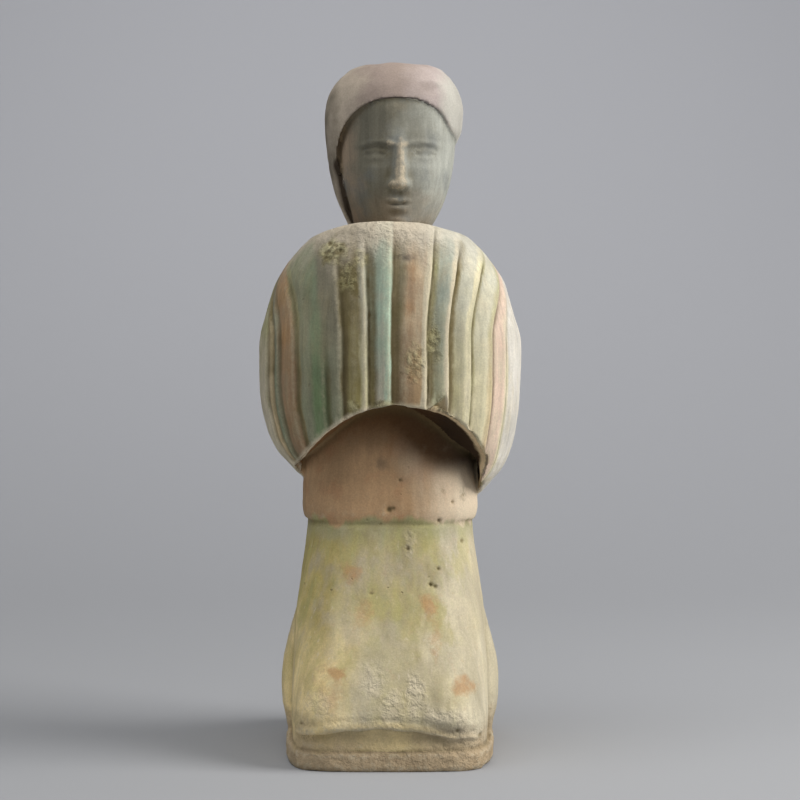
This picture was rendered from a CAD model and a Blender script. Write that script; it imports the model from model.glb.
"""Looks of a kneeling pottery figurine: one piece of worn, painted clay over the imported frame.

Sizes are in millimetres, and heights count from the slab's top, until metres() turns them into the
frame's metres. The materials, the camera and the lights use metres above the ground.
"""

import math

import bmesh
import bpy
import numpy as np
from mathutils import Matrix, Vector


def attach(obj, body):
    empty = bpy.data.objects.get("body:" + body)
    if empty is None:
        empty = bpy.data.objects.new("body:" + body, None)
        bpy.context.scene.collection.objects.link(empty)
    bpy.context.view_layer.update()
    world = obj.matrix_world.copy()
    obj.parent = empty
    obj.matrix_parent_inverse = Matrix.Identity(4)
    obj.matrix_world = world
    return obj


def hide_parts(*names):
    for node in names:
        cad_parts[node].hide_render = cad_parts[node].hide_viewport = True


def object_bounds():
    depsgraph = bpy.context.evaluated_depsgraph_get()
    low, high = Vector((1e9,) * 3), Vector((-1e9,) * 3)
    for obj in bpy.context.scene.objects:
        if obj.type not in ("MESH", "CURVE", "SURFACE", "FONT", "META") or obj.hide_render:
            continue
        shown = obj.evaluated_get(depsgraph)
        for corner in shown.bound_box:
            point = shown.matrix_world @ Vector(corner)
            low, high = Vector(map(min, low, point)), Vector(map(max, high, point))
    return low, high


NODE = "kneeling_figurine"
SLAB_THICKNESS = 10.0
SLAB_LEDGE = 0.8
SLAB_ROUNDING = 1.2
SLAB_WIDENING = 52.0 / 48.6 - 1
SLAB_WIDENS_OVER = 79.0
SLAB_SKIN = 0.3
SLEEVE_WALL = 5.0
ARM_THICKNESS = 8.0

# Free forms: height, half width, reach to the front, reach to the back, squareness
ROBE_FRONT = (
    (-4.0, 48.6, 71.0, 22.0, 6.0),
    (5.0, 48.8, 71.0, 22.0, 6.0),
    (10.0, 49.0, 71.6, 22.0, 5.6),
    (14.0, 49.2, 74.6, 22.0, 5.2),
    (17.0, 49.3, 75.6, 22.0, 5.0),
    (22.0, 49.3, 75.0, 22.0, 4.8),
    (34.0, 49.0, 71.0, 22.0, 4.4),
    (48.0, 48.4, 65.0, 22.0, 4.0),
    (62.0, 47.6, 58.6, 22.0, 3.7),
    (76.0, 45.8, 52.8, 22.0, 3.4),
    (90.0, 43.8, 48.0, 22.0, 3.2),
    (102.0, 42.2, 44.4, 22.0, 3.0),
    (110.0, 41.6, 42.4, 22.0, 3.0),
    (116.0, 41.0, 40.6, 22.0, 3.0),
)
ROBE_BACK = (
    (-4.0, 52.0, 14.0, 72.0, 3.2),
    (4.0, 53.0, 15.0, 74.4, 3.2),
    (11.0, 54.6, 16.4, 75.6, 3.1),
    (22.0, 55.6, 18.0, 74.2, 3.0),
    (36.0, 54.6, 19.0, 68.4, 2.9),
    (50.0, 51.4, 19.0, 60.0, 2.8),
    (64.0, 47.6, 19.0, 52.5, 2.7),
    (80.0, 43.6, 19.0, 45.0, 2.6),
    (96.0, 41.4, 19.0, 38.0, 2.6),
    (108.0, 40.8, 19.0, 33.4, 2.6),
    (116.0, 40.0, 19.0, 31.0, 2.6),
)
TORSO = (
    (107.0, 41.6, 40.6, 31.6, 2.8),
    (109.0, 43.2, 42.4, 33.0, 2.8),
    (112.0, 44.2, 43.0, 33.6, 2.8),
    (120.0, 44.3, 42.4, 33.4, 2.8),
    (134.0, 43.8, 40.0, 32.8, 2.7),
    (154.0, 43.4, 38.0, 33.0, 2.6),
    (184.0, 43.0, 36.6, 33.0, 2.5),
    (214.0, 42.0, 35.0, 32.0, 2.4),
    (230.0, 38.0, 31.0, 29.4, 2.3),
    (240.0, 30.0, 26.0, 25.0, 2.2),
)
NECK = (
    (236.0, 19.0, 17.0, 22.0, 2.0),
    (247.0, 17.5, 16.0, 20.5, 2.0),
    (258.0, 17.0, 16.0, 20.0, 2.0),
    (272.0, 17.0, 16.0, 20.0, 2.0),
)
SLEEVES = (
    (126.0, 38.0, 40.0, 17.0, 2.2),
    (131.0, 46.5, 50.0, 21.0, 2.2),
    (136.5, 51.8, 55.5, 23.6, 2.2),
    (142.0, 57.0, 59.5, 25.0, 2.2),
    (148.0, 60.6, 62.0, 26.2, 2.2),
    (156.0, 63.4, 64.0, 27.2, 2.2),
    (168.0, 66.0, 66.0, 28.2, 2.2),
    (186.0, 66.8, 67.6, 28.8, 2.2),
    (202.0, 66.0, 68.0, 29.2, 2.2),
    (212.0, 63.6, 68.0, 29.2, 2.2),
    (222.0, 61.2, 67.6, 28.8, 2.2),
    (231.0, 58.6, 66.8, 28.0, 2.2),
    (239.0, 54.8, 65.4, 26.8, 2.2),
    (246.0, 49.8, 63.6, 25.0, 2.2),
    (251.5, 44.6, 61.6, 22.6, 2.2),
    (255.5, 38.6, 59.2, 19.6, 2.2),
    (258.0, 30.0, 55.6, 15.0, 2.2),
)
FACE = (
    (249.0, 11.0, 22.0, 16.0, 2.2),
    (252.0, 15.5, 30.5, 20.0, 2.2),
    (256.0, 18.8, 33.8, 22.0, 2.2),
    (261.0, 21.8, 35.4, 22.0, 2.2),
    (268.0, 25.0, 36.6, 22.0, 2.2),
    (278.0, 28.0, 37.6, 22.0, 2.2),
    (290.0, 29.8, 38.0, 22.0, 2.2),
    (302.0, 30.2, 37.6, 22.0, 2.2),
    (312.0, 29.2, 36.0, 22.0, 2.2),
    (320.0, 27.0, 33.2, 21.0, 2.2),
    (328.0, 21.0, 27.0, 18.0, 2.1),
    (333.0, 14.0, 19.0, 13.0, 2.0),
)
HOOD = (
    (242.0, 14.0, 11.0, 19.0, 2.1),
    (250.0, 17.6, 13.6, 23.0, 2.1),
    (257.0, 21.4, 17.0, 27.0, 2.1),
    (264.0, 24.8, 21.0, 30.0, 2.1),
    (270.0, 27.8, 25.0, 32.4, 2.1),
    (278.0, 30.4, 29.0, 35.0, 2.1),
    (288.0, 32.6, 33.0, 37.2, 2.1),
    (298.0, 34.0, 36.0, 38.6, 2.1),
    (308.0, 35.0, 37.8, 38.8, 2.1),
    (316.0, 35.0, 38.0, 37.6, 2.1),
    (323.0, 33.4, 36.4, 35.2, 2.1),
    (329.0, 30.2, 33.0, 31.6, 2.1),
    (334.0, 25.4, 27.6, 26.4, 2.1),
    (337.6, 19.4, 20.6, 20.0, 2.0),
    (339.4, 11.0, 12.0, 11.6, 2.0),
    (340.0, 3.0, 3.4, 3.2, 2.0),
)

KNEE_HALF_WIDTH = 49.0
KNEE_EDGE_DROOP = 5.0
KNEE_EDGE_HEIGHT = 17.0
KNEE_LIP = 11.8
KNEE_LIP_STEP = 0.3
KNEE_LIP_BUILD = 1.7
WAIST_SEAM = 108.0
WAIST_SEAM_DEPTH = 0.9
CRACK_DEPTH = 0.8
SHOULDER_SLOPE = 0.11
SLOPE_FROM = 200.0
SLOPE_OVER = 50.0
SLOPE_HINGE = -56.0
HEM_SAG = 9.0
HEM_SAG_START = 12.0
HEM_SAG_REACH = 30.0
HEM_SAG_FROM = 182.0
HEM_SAG_OVER = 44.0
ARCH_CROWN = 167.2
ARCH_LEFT_FOOT = 137.0
ARCH_RIGHT_FOOT = 128.4
ARCH_HALF_WIDTH = 47.4
ARCH_RIGHT_SQUARENESS = 2.6
ARCH_BACK = -14.0
ARCH_THROAT = -34.0
ARCH_FRONT = -80.0
ARCH_CUT_FOOT = 100.0
ARCH_LEFT_SLANT = 0.0055
ARCH_RIGHT_SLANT = 0.020
THICK_FOOT = 5.0
THICK_FOOT_BELOW = 164.0
THICK_FOOT_OVER = 22.0
HOLLOW_FOOT = 110.0
HOLLOW_SECTION_FROM = 142.0
HOLLOW_SHOULDER = 190.0
HOLLOW_TOP = 232.0
HOLLOW_APEX = 236.0

# Pleats: groove's place as a share of the half width, depth, width of its floor, height it runs up to
PLEATS = (
    (-0.938, 1.1, 0.4, 214.0),
    (-0.884, 1.2, 0.6, 222.0),
    (-0.824, 1.3, 0.6, 228.0),
    (-0.684, 1.3, 0.8, 238.0),
    (-0.456, 1.1, 0.8, 196.0),
    (-0.334, 1.7, 1.0, 246.0),
    (-0.146, 2.4, 3.0, 250.0),
    (0.028, 1.9, 1.2, 258.0),
    (0.292, 2.5, 3.0, 258.0),
    (0.456, 2.1, 2.2, 250.0),
    (0.622, 1.9, 1.8, 246.0),
    (0.784, 1.5, 1.2, 238.0),
    (0.892, 1.2, 0.4, 224.0),
)
PLEAT_RISE = 5.0
PLEAT_FALL = 1.6
PLEAT_FADE = 16.0
PLEAT_SPREAD = 0.16
CROWDED_PAST = 0.85

HEAD_TURN = math.radians(4.0)
HEAD_LEAN = 0.030
HEAD_LEAN_FROM = 250.0
FACE_SHIFT = 1.4
HOOD_TUCK = 5.0
HOOD_TUCK_BELOW = 306.0
HOOD_TUCK_OVER = 16.0
HOOD_TUCK_ACROSS = 20.0
WINDOW_CENTRE = 292.0
WINDOW_HALF_WIDTH = 29.0
WINDOW_RISE = 27.4
WINDOW_CURVE = 0.85
WINDOW_SIDE = 0.80
WINDOW_FOOT = 246.0
WINDOW_FOOT_HALF_WIDTH = 16.0
WINDOW_BACK = -7.0
WINDOW_FRONT = -70.0
WINDOW_FLARE = 0.28
WINDOW_FLARE_BELOW = 307.0
WINDOW_FLARE_OVER = 14.0
RIM_TOP = 321.0
RIM_FILL = 0.6
CHEEK_GAP = 2.6
CHEEK_GAP_BELOW = 288.0

# Face, in thirds of its height from the chin to the hood's rim
CHIN = 252.0
FACE_HEIGHT = 67.0
NOSE_BASE = CHIN + FACE_HEIGHT / 3
BROW = CHIN + FACE_HEIGHT * 2 / 3
EYE_LINE = BROW - 5.0
MOUTH = NOSE_BASE - FACE_HEIGHT / 9
EYE_OFFSET = 12.4
EYE_HALF_LENGTH = 6.4
NOSE_REACH = 6.0

# Places of wear on the front: x, height, half width, half height, strength
BLUSHES = (
    (-27.0, 38.0, 4.5, 3.0, 1.0),
    (-19.0, 84.0, 6.0, 5.0, 0.7),
    (-13.0, 66.0, 7.0, 7.0, 0.45),
    (19.5, 69.0, 4.5, 6.5, 0.95),
    (22.0, 53.0, 3.5, 8.0, 0.5),
    (36.5, 31.0, 6.5, 5.5, 0.9),
    (-30.0, 29.0, 8.0, 12.0, 0.35),
)
GREENS = (
    (-1.0, 40.0, 17.0, 20.0, 0.85),
    (5.0, 100.0, 14.0, 10.0, 0.15),
    (-30.0, 104.0, 12.0, 5.0, 0.6),
    (-22.0, 62.0, 9.0, 14.0, 0.4),
    (2.0, 9.0, 34.0, 6.0, 0.6),
    (31.0, 42.0, 7.0, 6.0, 0.45),
)
FLAKES = (
    (2.0, 18.0, 7.0, 13.0, 0.8),
    (12.0, 27.0, 5.0, 14.0, 0.8),
    (-8.0, 34.0, 8.0, 10.0, 0.5),
    (24.0, 17.0, 14.0, 5.0, 0.8),
    (-34.0, 24.0, 7.0, 10.0, 0.5),
    (30.0, 8.0, 18.0, 6.0, 0.6),
    (10.0, 100.0, 3.0, 8.0, 0.4),
)
SMUDGES = (
    (-4.0, 138.0, 3.5, 3.0, 0.8),
    (20.0, 326.0, 6.0, 3.0, 0.75),
    (6.0, 240.0, 7.0, 1.6, 0.9),
    (-42.0, 14.0, 9.0, 5.0, 0.75),
    (34.0, 9.0, 13.0, 4.0, 0.55),
)
CRUSTS = (
    (-27.0, 242.0, 8.0, 6.5, 1.0),
    (-14.0, 239.0, 6.0, 6.0, 0.5),
    (-20.0, 231.0, 6.0, 8.0, 0.75),
    (-17.0, 167.0, 5.0, 3.5, 0.8),
    (-4.0, 169.0, 6.0, 3.0, 0.9),
    (22.0, 198.0, 4.0, 12.0, 0.7),
    (13.0, 188.0, 6.0, 12.0, 0.5),
)

# Holes and dents: x, height, radius, depth
HOLES = (
    (9.0, 96.6, 1.3, 1.5),
    (20.2, 79.2, 1.4, 1.6),
    (22.4, 78.2, 1.2, 1.3),
    (24.0, 86.5, 1.2, 1.2),
    (-0.3, 115.4, 2.0, 1.6),
    (1.8, 116.2, 1.3, 1.2),
    (5.1, 130.0, 1.2, 1.2),
    (31.2, 118.8, 1.2, 1.2),
    (24.4, 109.8, 1.3, 1.2),
    (36.0, 99.0, 1.5, 0.9),
    (-9.0, 75.0, 1.0, 0.8),
    (33.0, 10.5, 1.3, 1.0),
    (44.0, 7.0, 1.5, 1.0),
    (-43.0, 13.0, 1.2, 0.9),
    (-29.0, 247.0, 1.8, 1.2),
    (-24.0, 244.0, 1.4, 1.1),
    (-31.0, 240.0, 1.6, 1.2),
)

# Broken corners, each cut by a plane: a point on it, the way it faces, reach of the break
BREAKS = (
    ((46.6, -70.0, -6.5), (0.70, -0.15, -0.70), 24.0),
    ((-50.5, -69.0, -8.2), (-0.8, -0.4, -0.7), 12.0),
    ((50.6, -70.0, -1.0), (0.8, -0.6, 0.5), 9.0),
)

# Notch at the hem: the corners of a chip, as x and height
NOTCH = ((17.5, 164.0), (27.5, 172.8), (29.0, 158.0))
NOTCH_DEPTH = 2.4
HEM_CUSP = 3.0

# Pigments and clays, as red, green and blue
PIGMENTS = {
    "bare_clay": (0.58, 0.49, 0.35),
    "cream": (0.70, 0.62, 0.44),
    "chalk": (0.72, 0.69, 0.62),
    "shoulder": (0.57, 0.50, 0.39),
    "pale_shoulder": (0.56, 0.545, 0.46),
    "mint": (0.22, 0.265, 0.165),
    "umber": (0.16, 0.125, 0.055),
    "soot": (0.10, 0.085, 0.07),
    "earth": (0.10, 0.045, 0.014),
    "hollow": (0.04, 0.022, 0.010),
    "fold": (0.075, 0.060, 0.028),
    "dust": (0.285, 0.25, 0.145),
    "crust_pale": (0.66, 0.61, 0.36),
    "crust_dark": (0.19, 0.16, 0.062),
    "pale_rim": (0.84, 0.74, 0.56),
    "cheek_gap": (0.040, 0.026, 0.014),
    "lit_rim": (0.80, 0.62, 0.38),
    "blue_shade": (0.235, 0.275, 0.20),
    "warm_earth": (0.27, 0.145, 0.06),
    "hood_shade": (0.175, 0.15, 0.108),
    "hood_light": (0.56, 0.48, 0.38),
    "hood": (0.34, 0.275, 0.235),
    "hood_pink": (0.44, 0.375, 0.35),
    "hood_grey": (0.49, 0.475, 0.42),
    "slip_warm": (0.36, 0.275, 0.195),
    "slip_green": (0.18, 0.17, 0.128),
    "slip_cool": (0.42, 0.43, 0.38),
    "slip_blue": (0.17, 0.185, 0.185),
    "slip_brown": (0.30, 0.195, 0.125),
    "torso": (0.55, 0.355, 0.195),
    "torso_dusk": (0.42, 0.275, 0.15),
    "torso_red": (0.46, 0.25, 0.13),
    "torso_pale": (0.74, 0.63, 0.47),
    "ochre": (0.50, 0.41, 0.155),
    "straw": (0.92, 0.74, 0.39),
    "robe": (0.47, 0.405, 0.21),
    "robe_grey": (0.55, 0.49, 0.345),
    "robe_lilac": (0.46, 0.40, 0.30),
    "robe_moss": (0.47, 0.425, 0.165),
    "robe_green": (0.33, 0.33, 0.17),
    "robe_pale": (0.62, 0.56, 0.41),
    "robe_pink": (0.60, 0.53, 0.35),
    "blush": (0.49, 0.28, 0.13),
    "slab": (0.57, 0.445, 0.285),
    "slab_dusk": (0.36, 0.27, 0.165),
    "moss": (0.33, 0.325, 0.17),
    "olive": (0.23, 0.185, 0.078),
    "olive_gold": (0.36, 0.31, 0.12),
    "sand": (0.60, 0.47, 0.27),
    "terracotta": (0.40, 0.245, 0.12),
    "terracotta_dull": (0.34, 0.215, 0.115),
    "mint_grey": (0.26, 0.275, 0.175),
    "verdigris": (0.165, 0.26, 0.115),
    "deep_green": (0.11, 0.155, 0.065),
    "taupe": (0.225, 0.21, 0.145),
    "aqua": (0.45, 0.575, 0.45),
    "aqua_pale": (0.46, 0.63, 0.48),
    "lilac_grey": (0.72, 0.66, 0.53),
    "brown_green": (0.27, 0.22, 0.115),
    "taupe_brown": (0.31, 0.205, 0.108),
    "rust": (0.385, 0.25, 0.14),
    "sand_pink": (0.47, 0.345, 0.22),
    "gritty_sand": (0.41, 0.27, 0.135),
    "blue_grey": (0.38, 0.43, 0.36),
    "sage": (0.56, 0.55, 0.34),
    "pale_sage": (0.57, 0.56, 0.44),
    "yellow_green": (0.72, 0.67, 0.39),
    "lichen": (0.50, 0.475, 0.27),
    "pale_yellow": (0.76, 0.70, 0.46),
    "pink": (0.74, 0.57, 0.45),
    "pale_pink": (0.74, 0.64, 0.54),
    "crust": (0.54, 0.49, 0.24),
    "flake": (0.72, 0.64, 0.48),
}

# Painted stripes across the sleeves: from, to, pigment above, pigment below
STRIPES = (
    (-1.000, -0.955, "moss", "robe_pale"),
    (-0.925, -0.895, "olive", "sand"),
    (-0.872, -0.850, "taupe", "mint"),
    (-0.806, -0.700, "terracotta", "terracotta_dull"),
    (-0.684, -0.668, "moss", "olive"),
    (-0.650, -0.590, "mint_grey", "mint_grey"),
    (-0.545, -0.505, "mint", "verdigris"),
    (-0.468, -0.454, "taupe", "deep_green"),
    (-0.425, -0.365, "taupe", "mint_grey"),
    (-0.334, -0.318, "olive", "umber"),
    (-0.295, -0.215, "olive", "olive_gold"),
    (-0.186, -0.166, "pale_sage", "yellow_green"),
    (-0.146, -0.110, "blue_shade", "olive_gold"),
    (-0.088, -0.045, "aqua", "lilac_grey"),
    (-0.026, 0.012, "aqua_pale", "aqua_pale"),
    (0.026, 0.030, "umber", "umber"),
    (0.034, 0.085, "brown_green", "taupe_brown"),
    (0.125, 0.165, "rust", "taupe_brown"),
    (0.195, 0.230, "sand_pink", "gritty_sand"),
    (0.246, 0.266, "cream", "cream"),
    (0.290, 0.318, "moss", "umber"),
    (0.340, 0.402, "blue_grey", "sage"),
    (0.418, 0.430, "cream", "cream"),
    (0.448, 0.474, "olive", "olive"),
    (0.498, 0.556, "pale_sage", "yellow_green"),
    (0.570, 0.584, "pale_yellow", "pale_yellow"),
    (0.606, 0.626, "lichen", "lichen"),
    (0.645, 0.718, "pale_sage", "pale_yellow"),
    (0.748, 0.762, "lichen", "sand"),
    (0.785, 0.850, "pink", "pink"),
    (0.876, 0.900, "pale_pink", "pale_yellow"),
    (0.925, 1.000, "chalk", "chalk"),
)

# Place across where the stripes part into two ramps, as one ramp can't hold them all
STRIPES_PARTED = 0.032

# Studio, in metres and degrees
CAMERA_PLACE = (0.0051, -1.25, 0.23)
CAMERA_TILT = 2.375
CAMERA_LENS = 109.9
CAMERA_SENSOR = 36.0
WALL_BEHIND = 2.6
WALL_HEIGHT = 5.0
FLOOR_HALF_WIDTH = 12.0
FLOOR_AHEAD = 12.0
SWEEP = 2.0
SWEEP_STEPS = 48
PAPER_GREY = (0.355, 0.367, 0.386)
ROOM_LIGHT = (0.93, 0.95, 1.0)
ROOM_STRENGTH = 0.15
ON_FIGURE = (0.0, 0.0, 0.17)
ON_WALL = (0.0, 2.2, 0.4)

# Lights: name, azimuth to the front, elevation, distance, size, watts, colour, target, spread
LIGHTS = (
    ("key", 72.0, 33.0, 1.5, 0.9, 24.5, (1.0, 0.97, 0.94), ON_FIGURE, 180.0),
    ("top", -30.0, 70.0, 1.7, 1.3, 16.0, (1.0, 0.98, 0.96), ON_FIGURE, 180.0),
    ("fill", -70.0, 8.0, 2.2, 1.6, 6.2, (0.97, 0.98, 1.0), ON_FIGURE, 180.0),
    ("wall_light", 0.0, 56.0, 2.4, 2.0, 10.5, (1.0, 0.97, 0.99), ON_WALL, 80.0),
)

# Fineness of the clay's surface and the most triangles it keeps
GRID_PITCH = 2.0
CLAY_PITCH = 0.9
ARCH_STEPS = 61
HOLLOW_STEPS = 60
WINDOW_STEPS = 49
MOST_TRIANGLES = 190000

# Numbers that scatter the values of the clay's noise
NOISE_SHIFT = 19.7
NOISE_PRIMES = (73856093, 19349663, 83492791)
NOISE_MIXER = 1274126177


def smooth(share):
    """0 below 0, 1 above 1 and an S-curve between, for numbers or arrays."""
    share = np.clip(share, 0.0, 1.0)
    return share * share * (3 - 2 * share)


def bump(offset, half):
    """A rounded bump of height 1 that reaches 0 at half to each side."""
    return 0.5 + 0.5 * np.cos(np.pi * np.clip(np.abs(offset) / half, 0.0, 1.0))


def section(table, heights):
    """Half width, reach to the front, reach to the back and squareness of a form at some heights."""
    rows = np.array(table)
    levels, values = rows[:, 0], rows[:, 1:]
    heights = np.clip(heights, levels[0], levels[-1])
    low = np.clip(np.searchsorted(levels, heights, side="right") - 1, 0, len(levels) - 2)
    span = (levels[low + 1] - levels[low])[:, None]
    t = (heights - levels[low])[:, None] / span
    slopes = np.gradient(values, levels, axis=0)
    start, end = values[low], values[low + 1]
    leaving, arriving = slopes[low] * span, slopes[low + 1] * span
    curve = (2 * t**3 - 3 * t**2 + 1) * start + (t**3 - 2 * t**2 + t) * leaving
    curve += (3 * t**2 - 2 * t**3) * end + (t**3 - t**2) * arriving
    return curve.T


def around(table, turns, heights):
    """The points of a form at turns from its front and at heights."""
    half_width, front, back, square = section(table, heights)
    sine, cosine = np.sin(turns), np.cos(turns)
    x = half_width * np.sign(sine) * np.abs(sine) ** (2 / square)
    reach = np.where(cosine > 0, -front, back)
    return np.stack([x, reach * np.abs(cosine) ** (2 / square), heights], axis=1)


def outside(table, points):
    """How far points lie outside a form, measured level from its middle line."""
    half_width, front, back, square = section(table, points[:, 2])
    reach = np.where(points[:, 1] < 0, front, back)
    share = (np.abs(points[:, 0]) / half_width) ** square + (np.abs(points[:, 1]) / reach) ** square
    share = np.maximum(share, 1e-9) ** (1 / square)
    return np.hypot(points[:, 0], points[:, 1]) * (1 - 1 / share)


def metres(points):
    """Points in millimetres above the slab's top, as metres above the ground."""
    return (np.asarray(points) + (0.0, 0.0, SLAB_THICKNESS)) / 1000


def lowering(points):
    """How far the shoulders' slope and the sagging side of the hem lower the sleeves."""
    x, y, height = points.T
    rise = smooth((height - SLOPE_FROM) / SLOPE_OVER)
    slope = SHOULDER_SLOPE * rise * np.maximum(0.0, y - SLOPE_HINGE)
    side = smooth((x - HEM_SAG_START) / HEM_SAG_REACH)
    sag = HEM_SAG * side * smooth((HEM_SAG_FROM - height) / HEM_SAG_OVER)
    return slope + sag


def lowered(points):
    """Points on the plain sleeves, moved to where the slope and the sag leave them."""
    points[:, 2] -= lowering(points)
    return points


def raised(points):
    """Points on the sleeves as they would be without the slope and the sag."""
    even = points.copy()
    for _ in range(4):
        even[:, 2] = points[:, 2] + lowering(even)
    return even


def turned(points):
    """Points of the head after its turn and its slight lean to one side."""
    x, y, height = points.T
    cos, sin = math.cos(HEAD_TURN), math.sin(HEAD_TURN)
    lean = HEAD_LEAN * (height - HEAD_LEAN_FROM)
    return np.stack([x * cos - y * sin + lean, x * sin + y * cos, height], axis=1)


def unturned(points):
    """Points in the head's own directions."""
    x, y, height = points.T
    x = x - HEAD_LEAN * (height - HEAD_LEAN_FROM)
    cos, sin = math.cos(HEAD_TURN), math.sin(HEAD_TURN)
    return np.stack([x * cos + y * sin, y * cos - x * sin, height], axis=1)


def linked(name, bm):
    """An object made of a finished bmesh."""
    mesh = bpy.data.meshes.new(name)
    bm.to_mesh(mesh)
    bm.free()
    piece = bpy.data.objects.new(name, mesh)
    bpy.context.scene.collection.objects.link(piece)
    return piece


def flat_grid(bm, columns, rows):
    """Adds a flat grid, and returns how far across and up each vertex lies, from -0.5 to 0.5."""
    bmesh.ops.create_grid(bm, x_segments=columns, y_segments=rows, size=0.5)
    flat = np.array([vertex.co for vertex in bm.verts])
    return flat[:, 0], flat[:, 1]


def placed(vertices, points):
    """Moves vertices to points in millimetres above the slab's top."""
    for vertex, point in zip(vertices, metres(points)):
        vertex.co = point


def wrapped(name, low, high, place, girth):
    """A closed form: a grid wrapped round from one level to another, with its two ends capped."""
    bm = bmesh.new()
    across, up = flat_grid(bm, round(girth / GRID_PITCH), round((high - low) / GRID_PITCH))
    placed(bm.verts, place(math.tau * across, low + (high - low) * (up + 0.5)))
    return closed(name, bm)


def form(name, table, moved=None, girth=340.0):
    """A closed form with a table's sections, and its points moved on by a function if one is given."""
    def place(turns, heights):
        points = around(table, turns, heights)
        return moved(points) if moved else points
    return wrapped(name, table[0][0], table[-1][0], place, girth)


def closed(name, bm):
    """Welds a wrapped grid's seam and caps its open ends."""
    bmesh.ops.remove_doubles(bm, verts=bm.verts, dist=1e-6)
    bmesh.ops.holes_fill(bm, edges=[edge for edge in bm.edges if edge.is_boundary], sides=0)
    bmesh.ops.recalc_face_normals(bm, faces=bm.faces)
    return linked(name, bm)


def grow_ring(bm, ring):
    """Extrudes a closed ring of vertices, and returns the new ring in the same order."""
    edges = [bm.edges.get(pair) for pair in zip(ring, ring[1:] + ring[:1])]
    made = bmesh.ops.extrude_edge_only(bm, edges=edges)["geom"]
    grown = {item for item in made if isinstance(item, bmesh.types.BMVert)}
    return [next(e.other_vert(v) for e in v.link_edges if e.other_vert(v) in grown) for v in ring]


def cutter(name, rings):
    """A closed cutter skinned over rings of points."""
    bm = bmesh.new()
    ring = bmesh.ops.create_circle(bm, segments=len(rings[0]), radius=1.0)["verts"]
    bmesh.ops.contextual_create(bm, geom=ring)
    for index, points in enumerate(rings):
        ring = grow_ring(bm, ring) if index else ring
        placed(ring, points)
    bmesh.ops.contextual_create(bm, geom=ring)
    bmesh.ops.recalc_face_normals(bm, faces=bm.faces)
    return linked(name, bm)


def carved(piece, tool):
    """A piece with a cutter's space taken away."""
    cut = piece.modifiers.new("cut", "BOOLEAN")
    cut.object = tool
    cut.operation = "DIFFERENCE"
    cut.solver = "EXACT"
    return baked(piece, tool)


def baked(piece, *used):
    """A piece with its modifiers applied, and without the pieces that they used."""
    graph = bpy.context.evaluated_depsgraph_get()
    mesh = bpy.data.meshes.new_from_object(piece.evaluated_get(graph))
    piece.modifiers.clear()
    piece.data = mesh
    for helper in used:
        bpy.data.objects.remove(helper)
    return piece


def drooped(points):
    """Points on the robe's front, with the knees' edge drooping at the corners."""
    corner = np.where(points[:, 1] < 0, (points[:, 0] / KNEE_HALF_WIDTH) ** 2, 1.0)
    near_edge = bump(points[:, 2] - KNEE_EDGE_HEIGHT, KNEE_EDGE_HEIGHT)
    points[:, 2] -= KNEE_EDGE_DROOP * corner * near_edge
    return points


def make_slab():
    """The low slab under the robe's foot."""
    def place(turns, heights):
        foot = np.zeros_like(heights)
        ahead = np.cos(turns) > 0
        front, back = around(ROBE_FRONT, turns, foot), around(ROBE_BACK, turns, foot)
        points = np.where(ahead[:, None], front, back)
        blend = smooth(1 + points[:, 1] / SLAB_WIDENS_OVER)
        points[:, 0] *= 1 + np.where(ahead, SLAB_WIDENING * blend, 0.0)
        size = np.hypot(points[:, 0], points[:, 1])
        edge = smooth((heights + SLAB_THICKNESS) / SLAB_ROUNDING) * smooth(-heights / SLAB_ROUNDING)
        points[:, :2] *= (1 + SLAB_LEDGE * edge / size)[:, None]
        points[:, 2] = heights
        return points
    return wrapped("slab", -SLAB_THICKNESS, 0.0, place, 400.0)


def make_sleeves():
    """The sleeves and shoulders as a plain shell, hollow before the chest and with an arched hem."""
    return carved(carved(form("sleeves", SLEEVES, lowered, 360.0), make_hollow()), make_arch())


def make_hollow():
    """The space between the sleeves and the chest, a wall's thickness inside the sleeves."""
    bm = bmesh.new()
    across, up = flat_grid(bm, HOLLOW_STEPS, HOLLOW_STEPS)
    heights = HOLLOW_FOOT + (HOLLOW_TOP - HOLLOW_FOOT) * (up + 0.5)
    half_width, front, _, square = section(SLEEVES, np.maximum(HOLLOW_SECTION_FROM, heights))
    rise = np.maximum(0.0, heights - HOLLOW_SHOULDER) / (HOLLOW_APEX - HOLLOW_SHOULDER)
    closing = np.sqrt(1 - rise**2)
    turns = np.pi * across
    sine, cosine = np.sin(turns), np.cos(turns)
    x = (half_width - ARM_THICKNESS) * closing * np.sign(sine) * np.abs(sine) ** (2 / square)
    x -= THICK_FOOT * smooth((THICK_FOOT_BELOW - heights) / THICK_FOOT_OVER) * smooth(x / half_width)
    y = ARCH_BACK - (front - SLEEVE_WALL + ARCH_BACK) * closing * np.abs(cosine) ** (2 / square)
    placed(bm.verts, np.stack([x, y, heights], axis=1))
    return closed("hollow", bm)


def arch_height(share):
    """The hem's height at shares of the arch's half width, from -1 to 1."""
    square = ARCH_RIGHT_SQUARENESS
    left = ARCH_LEFT_FOOT + (ARCH_CROWN - ARCH_LEFT_FOOT) * (1 - share * share)
    right = (ARCH_CROWN - ARCH_RIGHT_FOOT) * (1 - np.abs(share) ** square) ** (1 / square)
    return np.where(share < 0, left, ARCH_RIGHT_FOOT + right)


def hem_depth(x, heights):
    """How far forward the sleeves' outer face is at places on the hem."""
    half_width, front, _, square = section(SLEEVES, heights)
    return -front * np.maximum(0.0, 1 - np.abs(x / half_width) ** square) ** (1 / square)


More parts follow.
